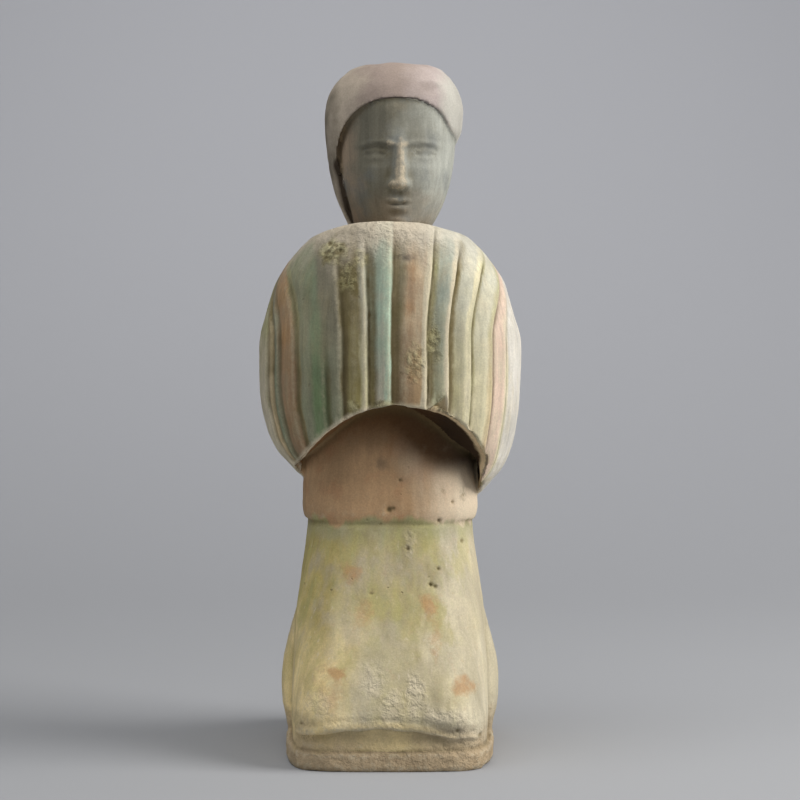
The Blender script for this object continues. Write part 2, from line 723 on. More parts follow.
def make_arch():
    """The cutter under the hem, which runs back to the arms and slants open to the front."""
    shares = -np.cos(np.linspace(0.0, np.pi, ARCH_STEPS))
    x = ARCH_HALF_WIDTH * np.concatenate([[-1.0], shares, [1.0]])
    heights = np.concatenate([[ARCH_CUT_FOOT], arch_height(shares), [ARCH_CUT_FOOT]])
    slant = np.where(x < 0, ARCH_LEFT_SLANT, ARCH_RIGHT_SLANT)
    rings = []
    for y in (ARCH_BACK, ARCH_THROAT, ARCH_FRONT):
        behind = min(y, ARCH_THROAT) - hem_depth(x, np.maximum(HOLLOW_SECTION_FROM, heights))
        rings.append(np.stack([x * (1 - slant * behind), np.full_like(x, y), heights], axis=1))
    return cutter("arch", rings)


def tucked(points, way=1.0):
    """Points of the hood, drawn in behind the cheek on one side, or let out again."""
    x, _, height = points.T
    below = smooth((HOOD_TUCK_BELOW - height) / HOOD_TUCK_OVER)
    points[:, 0] -= way * HOOD_TUCK * smooth(x / HOOD_TUCK_ACROSS) * below
    return points


def make_hood():
    """The smooth hood, open round the face."""
    hood = form("hood", HOOD, lambda points: turned(tucked(points)), 230.0)
    side, lower = WINDOW_SIDE * WINDOW_HALF_WIDTH, (WINDOW_CENTRE + 2 * WINDOW_FOOT) / 3
    outline = [(-WINDOW_FOOT_HALF_WIDTH, WINDOW_FOOT), (-side, lower)]
    for turn in np.linspace(-np.pi / 2, np.pi / 2, WINDOW_STEPS):
        sine, cosine = math.sin(turn), max(0.0, math.cos(turn))
        x = WINDOW_HALF_WIDTH * math.copysign(abs(sine) ** WINDOW_CURVE, sine)
        outline.append((x, WINDOW_CENTRE + WINDOW_RISE * cosine ** WINDOW_CURVE))
    outline += [(side, lower), (WINDOW_FOOT_HALF_WIDTH, WINDOW_FOOT)]
    x, heights = np.array(outline).T
    below = smooth((WINDOW_FLARE_BELOW - heights) / WINDOW_FLARE_OVER)
    flare = np.where(x > 0, WINDOW_FLARE * below, 0.0)
    rings = []
    for y in (WINDOW_BACK, WINDOW_FRONT):
        rings.append(turned(np.stack([x * (1 + flare), np.full_like(x, y), heights], axis=1)))
    return carved(hood, cutter("window", rings))


def make_blank():
    """The whole figure as one skin of plain clay, before its folds and features are worked in."""
    forms = [
        form("robe_front", ROBE_FRONT, drooped),
        form("robe_back", ROBE_BACK),
        make_slab(),
        form("torso", TORSO),
        form("neck", NECK, girth=110.0),
        make_sleeves(),
        form("face", FACE, lambda points: turned(points + (FACE_SHIFT, 0.0, 0.0)), 180.0),
        make_hood(),
    ]
    bm = bmesh.new()
    for plain in forms:
        bm.from_mesh(plain.data)
        bpy.data.objects.remove(plain)
    figure = linked("figurine", bm)
    skin = figure.modifiers.new("one skin", "REMESH")
    skin.mode = "VOXEL"
    skin.voxel_size = CLAY_PITCH / 1000
    return baked(figure)


def noise(points, pitch, seed=0):
    """Smooth noise between -1 and 1 at points, with features about a pitch wide."""
    place = points / np.asarray(pitch) + NOISE_SHIFT * seed
    cell = np.floor(place).astype(np.int64)
    share = smooth(place - cell)
    total = np.zeros(len(points))
    for corner in np.ndindex(2, 2, 2):
        scattered = np.bitwise_xor.reduce((cell + corner) * NOISE_PRIMES, axis=1)
        scattered = (scattered ^ (scattered >> 13)) * NOISE_MIXER
        value = ((scattered ^ (scattered >> 16)) & 65535) / 32767.5 - 1
        total += np.prod(np.where(corner, share, 1 - share), axis=1) * value
    return total


def positions(mesh):
    """A mesh's points in millimetres above the slab's top."""
    points = np.empty(3 * len(mesh.vertices))
    mesh.vertices.foreach_get("co", points)
    return 1000 * points.reshape(-1, 3) - (0.0, 0.0, SLAB_THICKNESS)


def place_points(mesh, points):
    """Moves a mesh's points to places in millimetres above the slab's top."""
    mesh.vertices.foreach_set("co", metres(points).ravel())
    mesh.update()


def facing(mesh):
    """The direction that a mesh faces at each point."""
    normals = np.empty(3 * len(mesh.vertices))
    mesh.vertex_normals.foreach_get("vector", normals)
    return normals.reshape(-1, 3)


def along_edges(mesh, values):
    """The mean of each point's neighbours' values."""
    ends = np.empty(2 * len(mesh.edges), dtype=np.int64)
    mesh.edges.foreach_get("vertices", ends)
    first, second = ends.reshape(-1, 2).T
    count = np.bincount(ends, minlength=len(values))
    total = np.bincount(first, values[second], len(values))
    total += np.bincount(second, values[first], len(values))
    return total / np.maximum(count, 1)


def survey(points):
    """Where each point of the plain figure lies: masks for its parts, and its place on them."""
    even, head = raised(points), unturned(points)
    sleeve_gap = outside(SLEEVES, even)
    torso_gap = np.abs(outside(TORSO, points))
    sleeve_foot, sleeve_top = SLEEVES[0][0], SLEEVES[-1][0]
    above = even[:, 2] > sleeve_top + 0.8
    below = points[:, 2] < TORSO[0][0] + 1.5
    between = ~above & ~below
    cap = ~above & (even[:, 2] > sleeve_top - 1.5)
    near = (np.abs(sleeve_gap) < 2.0) & (np.abs(sleeve_gap) < torso_gap)
    sleeve = cap | (near & between & (even[:, 2] > sleeve_foot - 2.0))
    torso = between & ~sleeve & (torso_gap < 1.8)
    inner = between & ~sleeve & ~torso
    return {
        "even": even,
        "head": head,
        "on_head": above.astype(float),
        "on_sleeve": sleeve.astype(float),
        "on_torso": torso.astype(float),
        "inner": inner.astype(float),
        "behind_hem": np.where(inner, np.maximum(0.0, -sleeve_gap), 0.0),
        "on_robe": (below & (points[:, 2] > SLAB_SKIN)).astype(float),
        "on_slab": (points[:, 2] <= SLAB_SKIN).astype(float),
        **survey_head(head, above),
    }


def survey_head(head, above):
    """Where the head's points lie: on the face, in the gap beside the cheek or under the hood's rim."""
    x, y, height = head.T
    hood_gap = np.abs(outside(HOOD, tucked(head.copy(), -1.0)))
    face_gap = np.abs(outside(FACE, head - (FACE_SHIFT, 0.0, 0.0)))
    down = np.clip((WINDOW_CENTRE - height) / (WINDOW_CENTRE - WINDOW_FOOT), 0.0, 1.0)
    cheek = (WINDOW_HALF_WIDTH - WINDOW_FOOT_HALF_WIDTH) * down**1.6 - WINDOW_HALF_WIDTH
    gap = bump(x - cheek + 0.2, 3.2) * (y < -3.0) * above
    below_gap_top = CHEEK_GAP_BELOW - height
    faced = (y < -2.0) & (face_gap < np.maximum(hood_gap, 0.7)) & (height < RIM_TOP)
    faced |= (x > 8.0) & (y < 16.0) & (height < HOOD_TUCK_BELOW) & (face_gap < hood_gap)
    return {
        "on_face": (above & faced).astype(float),
        "gap": gap * smooth(below_gap_top / 7),
        "gap_shade": gap * smooth((below_gap_top + 5) / 6),
        "under_hood": np.minimum(hood_gap, 5.0) * smooth((height - 300.0) / 16),
    }


def across_sleeves(even):
    """Place across the pleated front, from -1 at one side to 1 at the other."""
    x, _, height = even.T
    half_width = section(SLEEVES, height)[0]
    widest, widest_at = max((row[1], row[0]) for row in SLEEVES)
    lean = 1 + PLEAT_SPREAD * smooth((height - SLOPE_FROM) / SLOPE_OVER)
    spread = np.where(height > widest_at, widest * lean / half_width, 1.0)
    share = np.clip(np.abs(x) / half_width, 0.0, 0.9995)
    left = 1 - CROWDED_PAST
    share = np.where(share > CROWDED_PAST, CROWDED_PAST - left * np.log((1 - share) / left), share)
    return np.sign(x) * share / spread


def pleat_cut(across, height):
    """How deep the pleats cut, and how near each place is to a pleat's standing edge."""
    widest = max(row[1] for row in SLEEVES)
    cut, edge = np.zeros_like(across), np.zeros_like(across)
    for place, deepest, floor, top in PLEATS:
        offset = (across - place) * widest
        run = smooth((top - height) / PLEAT_FADE)
        fall = bump(offset, PLEAT_FALL)
        rise = bump(np.maximum(0.0, offset - floor), PLEAT_RISE)
        cut += deepest * run * np.where(offset < 0, fall, rise)
        edge += deepest / 2.5 * run * bump(offset + PLEAT_FALL + 0.5, 1.5)
    return cut, np.minimum(edge, 1.0)


def face_relief(x, height):
    """How far the face stands out from the plain head: sockets, lids, brows, nose, lips and chin."""
    side = np.abs(x)
    across = side - EYE_OFFSET
    arch = np.maximum(0.0, 1 - (across / EYE_HALF_LENGTH) ** 2)
    upper, lower = EYE_LINE - 0.2 + 1.9 * arch, EYE_LINE - 0.4 - 1.2 * arch
    open_eye = smooth((upper - height) / 0.7) * smooth((height - lower) / 0.7) * smooth(arch / 0.3)
    relief = -2.6 * bump(across + 0.6, 12.0) * bump(height - EYE_LINE - 0.8, 8.2)
    relief += 2.3 * bump(across, EYE_HALF_LENGTH + 2.4) * bump(height - EYE_LINE, 5.6)
    relief -= 0.75 * open_eye
    relief -= 0.55 * bump(height - upper - 1.9, 0.9) * smooth(arch / 0.25)
    brow_line = BROW + 1.6 * np.sin(np.pi * np.minimum(1.0, side / 21.0)) - 1.0
    relief += 1.0 * bump(height - brow_line, 2.6) * smooth(side / 4.0) * smooth((23.0 - side) / 5.0)
    relief += nose_relief(side, height)
    bow = MOUTH + 2.6 - 0.5 * bump(side, 1.6) + 0.5 * bump(side - 2.6, 2.0)
    relief += 1.5 * bump(height - (MOUTH + bow) / 2 - 0.4, 2.0) * bump(side, 8.2)
    relief += 1.7 * bump(height - MOUTH + 2.3, 2.5) * bump(side, 6.6)
    relief -= 1.0 * bump(height - MOUTH - 0.04 * side, 0.9) * bump(side, 8.8)
    relief -= 0.5 * bump(side, 1.5) * bump(height - MOUTH - 5.2, 2.4)
    relief -= 0.7 * bump(height - MOUTH + 6.0, 2.2) * bump(side, 7.0)
    relief += 1.7 * bump(height - CHIN - 6.0, 6.4) * bump(side, 9.0)
    relief += 1.0 * bump(side - 15.0, 11.0) * bump(height - NOSE_BASE - 4.0, 14.0)
    return relief


def nose_relief(side, height):
    """The nose: a ridge that grows from the brow to its tip, with rounded wings at its base."""
    down = np.clip((BROW - height) / (BROW - NOSE_BASE - 2.0), 0.0, 1.0)
    under = smooth((height - NOSE_BASE + 2.0) / 3.6)
    reach = (1.6 + (NOSE_REACH - 1.6) * down**1.3) * smooth((BROW + 6.0 - height) / 8.0) * under
    ridge = reach * bump(side, 3.8 + 2.6 * down)
    wings = 2.2 * bump(side - 4.2, 2.9) * bump(height - NOSE_BASE - 2.6, 3.4)
    nostrils = 1.0 * bump(side - 2.6, 1.4) * bump(height - NOSE_BASE + 0.2, 1.3)
    return ridge + wings * under - nostrils


def patches(points, places, seed):
    """Soft ragged patches of wear on the front, as a mask."""
    ragged = 0.34 * noise(points, 5.0, seed) + 0.22 * noise(points, 2.4, seed + 1)
    front = points[:, 1] < -6.0
    total = np.zeros(len(points))
    for x, height, wide, tall, strength in places:
        far = np.hypot((points[:, 0] - x) / wide, (points[:, 2] - height) / tall)
        total = np.maximum(total, strength * smooth(1.3 - far + ragged) * front)
    return total


def within_corners(points, corners):
    """How far inside a triangle on the front each point lies, negative outside."""
    inside = np.full(len(points), 99.0)
    spots = [np.array(corner) for corner in corners]
    centre = sum(spots) / 3
    for start, end in zip(spots, spots[1:] + spots[:1]):
        side = np.array((end[1] - start[1], start[0] - end[0])) / np.hypot(*(end - start))
        side *= np.sign(side @ (centre - start))
        inside = np.minimum(inside, (points[:, (0, 2)] - start) @ side)
    return inside


def worked(figure):
    """Works folds, face, seams, wear and the clay's own unevenness into the plain figure."""
    mesh = figure.data
    points, normals = positions(mesh), facing(mesh)
    facts = survey(points)
    sway = np.zeros_like(points)
    sway[:, 0] = 0.5 * noise(points, (400.0, 400.0, 26.0), 3)
    across = across_sleeves(facts["even"] + sway)
    cut, edge = pleat_cut(across, facts["even"][:, 2])
    front = smooth((4.0 - points[:, 1]) / 8.0) * facts["on_sleeve"]
    level = normals * (1.0, 1.0, 0.0)
    level /= np.maximum(np.linalg.norm(level, axis=1), 0.3)[:, None]
    points -= level * (front * (cut - 0.35 * edge))[:, None]

    x, _, height = (facts["head"] - (FACE_SHIFT, 0.0, 0.0)).T
    ahead = turned(np.array([[0.0, -1.0, HEAD_LEAN_FROM]]))[0] - (0.0, 0.0, HEAD_LEAN_FROM)
    relief = face_relief(x, height) + RIM_FILL * facts["under_hood"]
    points += ahead * (relief * facts["on_face"])[:, None]

    points += normals * unevenness(points, facts)[:, None]
    points = hem_worn(broken(points, facts), facts, normals)
    place_points(mesh, points)
    return facts, across, edge


def unevenness(points, facts):
    """How far the clay's surface strays from its plain form, by hand, tool and wear."""
    face, slab, robe, sleeve = (facts[name] for name in ("on_face", "on_slab", "on_robe", "on_sleeve"))
    swell = 0.45 * noise(points, 21.0, 11) + 0.16 * noise(points, 8.0, 12)
    rough = 0.10 * noise(points, 3.4, 13)
    low = smooth((24.0 - points[:, 2]) / 16.0) * robe
    stray = swell * (1 - 0.9 * face) + rough * (1 - 0.75 * face + 1.6 * slab + 1.2 * low)
    strokes = noise(points, (2.8, 2.8, 30.0), 15)
    stray += 0.09 * strokes * (robe + 0.6 * sleeve + 0.5 * facts["on_torso"])
    stray += patches(points, FLAKES, 21) * robe * 0.2 * np.tanh(4.0 * noise(points, 4.2, 22))
    stray += patches(points, CRUSTS, 31) * sleeve * 0.6 * noise(points, 2.6, 32)
    stray -= pitted(points, facts)
    stray -= CHEEK_GAP * facts["gap"]
    seam = bump(points[:, 2] - WAIST_SEAM - 0.5 * noise(points, 17.0, 41), 1.5)
    stray -= WAIST_SEAM_DEPTH * seam * (0.75 + 0.35 * noise(points, 9.0, 42))
    stray -= CRACK_DEPTH * crack(points)
    return stray + knee_edge(points) * robe


def knee_edge(points):
    """How far the worn lip under the knees is built out, and the step below it set back."""
    over = points[:, 2] - knee_lip(points)
    lip = bump(over - 0.8, 4.2) * smooth((over + 0.4) / 0.9)
    step = smooth(-over / 0.9) * smooth((points[:, 2] - 0.5) / 5.0)
    middle = smooth((50.0 - np.abs(points[:, 0])) / 10.0) * (points[:, 1] < -60.0)
    return (KNEE_LIP_BUILD * lip - KNEE_LIP_STEP * step) * middle


def knee_lip(points):
    """Height of the worn lip under the knees, which drops to both sides."""
    x = points[:, 0]
    drop = np.where(x > 0, 5.2 * (x / 27.0) ** 2, 2.7 * (x / 34.0) ** 2)
    return KNEE_LIP - np.minimum(drop, 6.0) + 0.9 * noise(points, 7.0, 43)


def crack(points):
    """How near each point is to the crack between the robe's foot and the slab."""
    near = bump(points[:, 2] - 0.5 - 0.8 * noise(points, 17.0, 44), 1.6) * (points[:, 1] < -20.0)
    return near * (0.6 + 0.5 * noise(points, 9.0, 45))


def pitted(points, facts):
    """How deep the holes and dents go at each point."""
    depth = np.zeros(len(points))
    for x, height, radius, deepest in HOLES:
        far = np.hypot(points[:, 0] - x, points[:, 2] - height)
        depth = np.maximum(depth, deepest * bump(far, 1.1 * radius))
    return depth * (points[:, 1] < -10.0) * (1 - facts["inner"])


def broken(points, facts):
    """Cuts the slab's broken corners back to rough planes."""
    for spot, way, reach in BREAKS:
        way = np.array(way) / np.linalg.norm(way)
        beyond = (points - spot) @ way + 0.5 * noise(points, 3.0, 51)
        near = np.linalg.norm(points - spot, axis=1) < reach
        points -= way * np.where(near, np.maximum(0.0, beyond), 0.0)[:, None]
    ragged = 0.5 * noise(points, 6.0, 52) + 0.35 * noise(points, 2.4, 53)
    rim = facts["on_slab"] * bump(points[:, 2] + 0.4, 2.2)
    away = np.hypot(points[:, 0], points[:, 1])
    points[:, :2] *= (1 - 0.9 * rim * np.maximum(0.0, ragged) / away)[:, None]
    return points


def notched(points, facts):
    """Where the hem's chip lies, deepest at the hem."""
    notch = smooth(within_corners(points, NOTCH) / 0.8 + 0.5) * facts["on_sleeve"] * (points[:, 1] < -50)
    return notch * smooth((174.5 - points[:, 2]) / 6.0)


def hem_worn(points, facts, normals):
    """Breaks a notch out of the hem, chips its edge and lifts it to a cusp in the middle."""
    points -= normals * (NOTCH_DEPTH * notched(points, facts))[:, None]
    near_hem = smooth((ARCH_CROWN + 9.0 - points[:, 2]) / 9.0) * (points[:, 1] < -44.0)
    near_hem *= np.maximum(facts["on_sleeve"], facts["inner"])
    points[:, 2] += 1.3 * bump(points[:, 0] - HEM_CUSP, 8.0) * near_hem
    chip = np.maximum(0.0, noise(points, 4.5, 61) - 0.25) + 0.5 * np.maximum(0.0, noise(points, 2.0, 62))
    under = np.maximum(0.0, -normals[:, 2]) * np.maximum(facts["on_sleeve"], facts["inner"])
    points[:, 2] += 0.7 * chip * under * (points[:, 1] < -16.0)
    return points


def evened(mesh, values, rounds):
    """Values evened out over each point's neighbours, a number of times."""
    for _ in range(rounds):
        values = along_edges(mesh, values)
    return values


def bulging(mesh, points):
    """How far the clay stands out from its surroundings at each point."""
    away = np.stack([points[:, axis] - along_edges(mesh, points[:, axis]) for axis in range(3)], axis=1)
    return evened(mesh, (facing(mesh) * away).sum(axis=1), 3)


def mark_wear(mesh, facts, across, edge):
    """Marks where each finish lies and where the clay is worn, soiled or stained."""
    points = positions(mesh)
    x, y, height = points.T
    sleeve, torso, inner = facts["on_sleeve"], facts["on_torso"], facts["inner"]
    bulge = bulging(mesh, points)
    front = facts["on_robe"] * (y < -60.0) * smooth((46.0 - np.abs(x)) / 30.0)
    over_lip = height - knee_lip(points)
    recess = front * smooth(-over_lip / 2.0) * (1 - 0.6 * smooth((np.abs(x) - 6.0) / 16.0))
    crease = smooth(evened(mesh, -bulge, 8) / 0.03) * (1 - 0.8 * recess)
    over_hem = height - arch_height(np.clip(x / ARCH_HALF_WIDTH, -1.0, 1.0))
    lit = 1 - smooth((x + 5.0) / 33.0)
    behind = smooth((y + 6.0) / 8.0)
    shade = torso * smooth((height - 129.0 - 11.0 * lit) / (12.0 + 10.0 * lit)) * (1 - behind)
    marks = {
        "across": across,
        "ridge": smooth((edge - 0.5) / 0.5) * sleeve,
        "edge": smooth(bulge / 0.045),
        "crease": np.maximum(crease, 1.3 * crack(points)),
        "gap": facts["gap_shade"],
        "recess": recess,
        "knee edge": front * bump(over_lip - 1.8, 2.6),
        "hem line": bump(over_hem - 0.4, 2.6) * sleeve * (y < -20.0),
        "chip": notched(points, facts),
        "slip": facts["on_face"],
        "back": torso * behind * smooth((height - 124.0) / 8.0),
        "inner": np.maximum(inner, shade),
        "hem": smooth((6.4 - facts["behind_hem"]) / 2.0) * inner * (height < 176.0),
        "on_sleeve": np.maximum(sleeve, inner),
        "on_head": facts["on_head"],
        "blush": patches(points, BLUSHES, 71),
        "green": patches(points, GREENS, 74),
        "flake": patches(points, FLAKES, 21),
        "smudge": patches(points, SMUDGES, 77),
        "crust": patches(points, CRUSTS, 31) * sleeve,
        "pit": smooth(pitted(points, facts) / 0.9),
    }
    for name, values in marks.items():
        layer = mesh.attributes.new(name, "FLOAT", "POINT")
        layer.data.foreach_set("value", np.asarray(values, dtype=np.float32))


def finished(figure):
    """Gives each face of the figure the material of the part that it lies on."""
    mesh = figure.data
    for material in (washed_robe(), painted_sleeves(), head_clay()):
        mesh.materials.append(material)
    finish = np.zeros(len(mesh.polygons), dtype=np.int32)
    starts = np.empty(len(mesh.polygons), dtype=np.int32)
    corners = np.empty(len(mesh.loops), dtype=np.int32)
    mesh.polygons.foreach_get("loop_start", starts)
    mesh.loops.foreach_get("vertex_index", corners)
    for index, name in enumerate(("on_sleeve", "on_head"), start=1):
        values = np.empty(len(mesh.vertices), dtype=np.float32)
        mesh.attributes[name].data.foreach_get("value", values)
        at_corners = values[corners]
        mean = (at_corners[starts] + at_corners[starts + 1] + at_corners[starts + 2]) / 3
        finish[mean > 0.5] = index
    mesh.polygons.foreach_set("material_index", finish)


def put(tree, kind, inputs=None, **settings):
    """Adds a node with its settings, and feeds its inputs from sockets or plain values."""
    made = tree.nodes.new("ShaderNode" + kind)
    for name, value in settings.items():
        setattr(made, name, value)
    for name, value in (inputs or {}).items():
        feed(tree, made.inputs[name], value)
    return made


def feed(tree, socket, value):
    """Links a socket to another, or sets its plain value."""
    if isinstance(value, bpy.types.NodeSocket):
        tree.links.new(value, socket)
    elif isinstance(value, str):
        socket.default_value = (*PIGMENTS[value], 1.0)
    else:
        socket.default_value = value


def calc(tree, operation, *values):
    """The result of a sum on sockets or numbers."""
    made = put(tree, "Math", operation=operation)
    for socket, value in zip(made.inputs, values):
        feed(tree, socket, value)
    return made.outputs[0]


def times(tree, first, second):
    """The product of two sockets or numbers."""
    return calc(tree, "MULTIPLY", first, second)


def mixed(tree, share, first, second, way="MIX"):
    """A colour between two colours, each a socket, a pigment's name or a colour."""
    made = put(tree, "Mix", data_type="RGBA", blend_type=way)
    for index, value in ((0, share), (6, first), (7, second)):
        feed(tree, made.inputs[index], value)
    return made.outputs[2]


def span(tree, value, low, high, low_out=0.0, high_out=1.0):
    """A value mapped from one range to another and held to it."""
    inputs = {"Value": value, "From Min": low, "From Max": high, "To Min": low_out, "To Max": high_out}
    return put(tree, "MapRange", inputs).outputs[0]


def mark(tree, name):
    """The value that the figure keeps under a name."""
    return put(tree, "Attribute", attribute_name=name).outputs["Fac"]


def place_on(tree, stretch=(1.0, 1.0, 1.0)):
    """Object coordinates, stretched along the three directions."""
    where = put(tree, "TexCoord").outputs["Object"]
    return put(tree, "Mapping", {"Vector": where, "Scale": stretch}).outputs[0]


def grain(tree, scale, detail=3.0, stretch=(1.0, 1.0, 1.0), rough=0.55):
    """Noise at a scale, in features a metre."""
    inputs = {"Vector": place_on(tree, stretch), "Scale": scale, "Detail": detail, "Roughness": rough}
    return put(tree, "TexNoise", inputs).outputs["Fac"]


def group(name, inputs, outputs):
    """An empty node group with named inputs and outputs, and its two end nodes."""
    tree = bpy.data.node_groups.new(name, "ShaderNodeTree")
    for way, sockets in (("INPUT", inputs), ("OUTPUT", outputs)):
        for socket, kind in sockets.items():
            tree.interface.new_socket(socket, in_out=way, socket_type="NodeSocket" + kind)
    return tree, tree.nodes.new("NodeGroupInput").outputs, tree.nodes.new("NodeGroupOutput").inputs


def use(tree, name, **inputs):
    """Places a node group, with its own values, and returns its outputs."""
    made = tree.nodes.new("ShaderNodeGroup")
    made.node_tree = bpy.data.node_groups[name]
    for socket, value in inputs.items():
        feed(tree, made.inputs[socket.replace("_", " ")], value)
    return made.outputs


def make_clay_grain():
    """Fired clay's own mottling, its fine speckle and the relief of its grit and pinholes."""
    tree, given, out = group(
        "clay grain", {"Scale": "Float", "Grit": "Float", "Pinholes": "Float"},
        {"Mottle": "Float", "Cloud": "Float", "Speckle": "Float", "Pits": "Float", "Height": "Float"})
    mottle = put(tree, "TexNoise", {"Vector": place_on(tree), "Scale": given["Scale"], "Detail": 5.0})
    speckle = grain(tree, 1100.0, 3.0, rough=0.7)
    feed(tree, out["Mottle"], span(tree, mottle.outputs["Fac"], 0.32, 0.68))
    feed(tree, out["Cloud"], span(tree, grain(tree, 34.0, 4.0), 0.36, 0.64))
    feed(tree, out["Speckle"], span(tree, speckle, 0.36, 0.66))
    bent = put(tree, "TexNoise", {"Vector": place_on(tree), "Scale": 700.0})
    where = put(tree, "VectorMath", {"Vector": bent.outputs["Color"], "Scale": 0.0016}, operation="SCALE")
    where = put(tree, "VectorMath", {0: place_on(tree), 1: where.outputs[0]}, operation="ADD")
    cells = put(tree, "TexVoronoi", {"Vector": where.outputs[0], "Scale": 290.0, "Randomness": 1.0})
    rare = span(tree, cells.outputs["Color"], 0.86, 0.92)
    pit = times(tree, span(tree, cells.outputs["Distance"], 0.26, 0.14), rare)
    pit = times(tree, pit, given["Pinholes"])
    feed(tree, out["Pits"], pit)
    coarse = times(tree, grain(tree, 420.0, 3.0), 0.5)
    grit = times(tree, calc(tree, "ADD", coarse, times(tree, speckle, 0.25)), given["Grit"])
    feed(tree, out["Height"], calc(tree, "SUBTRACT", grit, pit))


def make_brush_streaks():
    """The long uneven streaks that a brush leaves in thin colour."""
    tree, given, out = group("brush streaks", {"Fineness": "Float"}, {"Streak": "Float", "Broad": "Float"})
    fine = grain(tree, given["Fineness"], 5.0, (1.0, 1.0, 0.07), 0.65)
    feed(tree, out["Streak"], span(tree, fine, 0.34, 0.66))
    feed(tree, out["Broad"], span(tree, grain(tree, 90.0, 3.0, (1.0, 1.0, 0.22)), 0.36, 0.64))


def make_worn_paint():
    """Colour rubbed off the standing edges down to the clay, and dirt left in the hollows."""
    tree, given, out = group(
        "worn paint", {"Paint": "Color", "Worn": "Color", "Dirt": "Color", "Wear": "Float", "Soil": "Float"},
        {"Color": "Color"})
    ragged = grain(tree, 360.0, 5.0, rough=0.7)
    worn = span(tree, calc(tree, "MULTIPLY_ADD", ragged, 0.9, given["Wear"]), 0.70, 1.0)
    soil = times(tree, mark(tree, "crease"), given["Soil"])
    soil = times(tree, soil, span(tree, ragged, 0.2, 0.6, 0.6, 1.0))
    colour = mixed(tree, soil, given["Paint"], given["Dirt"])
    feed(tree, out["Color"], mixed(tree, times(tree, worn, mark(tree, "edge")), colour, given["Worn"]))


def make_ragged_patch():
    """A soft patch's mask with the frayed edge and the gaps of flaking colour."""
    tree, given, out = group("ragged patch", {"Patch": "Float", "Fray": "Float"}, {"Mask": "Float"})
    fray = calc(tree, "SUBTRACT", grain(tree, 240.0, 5.0, rough=0.7), 0.5)
    frayed_patch = calc(tree, "ADD", given["Patch"], times(tree, fray, given["Fray"]))
    feed(tree, out["Mask"], span(tree, frayed_patch, 0.12, 0.85))


def clay_material(name, scale, grit, pinholes, fineness):
    """A new material as dry as old clay: its tree, its clay, its brush streaks and places on it."""
    material = bpy.data.materials.new(name)
    material.use_nodes = True
    tree = material.node_tree
    shader = tree.nodes["Principled BSDF"]
    shader.inputs["Metallic"].default_value = 0.0
    shader.inputs["IOR"].default_value = 1.45
    shader.inputs["Specular IOR Level"].default_value = 0.25
    clay = use(tree, "clay grain", Scale=scale, Grit=grit, Pinholes=pinholes)
    brush = use(tree, "brush streaks", Fineness=fineness)
    at = put(tree, "SeparateXYZ", {"Vector": place_on(tree)}).outputs
    return material, tree, clay, brush, at


def dressed(tree, colour, clay, relief, rubble):
    """Finishes the shader: speckled colour, dark pits, uneven roughness, fine relief and rubble."""
    sockets = tree.nodes["Principled BSDF"].inputs
    pits = calc(tree, "MAXIMUM", clay["Pits"], mark(tree, "pit"))
    speckled = toned(tree, colour, clay["Speckle"], 0.90, 1.07)
    feed(tree, sockets["Base Color"], mixed(tree, times(tree, pits, 0.7), speckled, "umber"))
    feed(tree, sockets["Roughness"], span(tree, clay["Mottle"], 0.0, 1.0, 0.84, 0.97))
    lumps = times(tree, span(tree, grain(tree, 300.0, 4.0, rough=0.6), 0.40, 0.60), rubble)
    height = calc(tree, "ADD", clay["Height"], times(tree, lumps, 1.4))
    bumped = put(tree, "Bump", {"Height": height, "Strength": relief, "Distance": 0.0010})
    feed(tree, sockets["Normal"], bumped.outputs[0])


def worn_paint(tree, paint, worn, wear, soil):
    """Paint with its standing edges rubbed and its hollows soiled."""
    return use(tree, "worn paint", Paint=paint, Worn=worn, Dirt="umber", Wear=wear, Soil=soil)["Color"]


def frayed(tree, name, fray):
    """The mask of a marked patch, with a frayed edge."""
    return use(tree, "ragged patch", Patch=mark(tree, name), Fray=fray)["Mask"]


def smudged(tree, colour, most):
    """A colour with the soot marks on it."""
    return mixed(tree, times(tree, frayed(tree, "smudge", 0.8), most), colour, "soot")


def shoulder_clay(tree, clay, at):
    """The bare clay of the shoulders and the back, paler on the lit side."""
    bare = mixed(tree, span(tree, at["X"], 0.004, 0.036), "shoulder", "pale_shoulder")
    return toned(tree, bare, clay["Mottle"], 0.80, 1.12)


def inside_clay(tree, at, deep):
    """The dark clay behind the hem, with a share of the darkest colour."""
    earth = mixed(tree, span(tree, at["X"], -0.040, 0.012), "warm_earth", "earth")
    return mixed(tree, deep, earth, "hollow")


def ramp(tree, value, stops):
    """A colour that runs through pigments over a value: pairs of a value and a pigment."""
    low, high = stops[0][0], stops[-1][0]
    made = put(tree, "ValToRGB", {"Fac": span(tree, value, low, high)})
    elements = made.color_ramp.elements
    for index, (place, pigment) in enumerate(stops):
        share = (place - low) / (high - low)
        stop = elements[index] if index < 2 else elements.new(share)
        stop.position = share
        stop.color = (*PIGMENTS[pigment], 1.0)
    return made.outputs["Color"]


def jittered(tree, value, *shakes):
    """A value shaken by noise: pairs of a noise and how much it adds at most."""
    for noise_value, most in shakes:
        value = calc(tree, "MULTIPLY_ADD", noise_value, most, value)
    return value


def toned(tree, colour, value, dark, light):
    """A colour made darker and lighter by a value between 0 and 1."""
    level = span(tree, value, 0.0, 1.0, dark, light)
    made = put(tree, "CombineColor", {"Red": level, "Green": level, "Blue": level})
    return mixed(tree, 1.0, colour, made.outputs[0], "MULTIPLY")


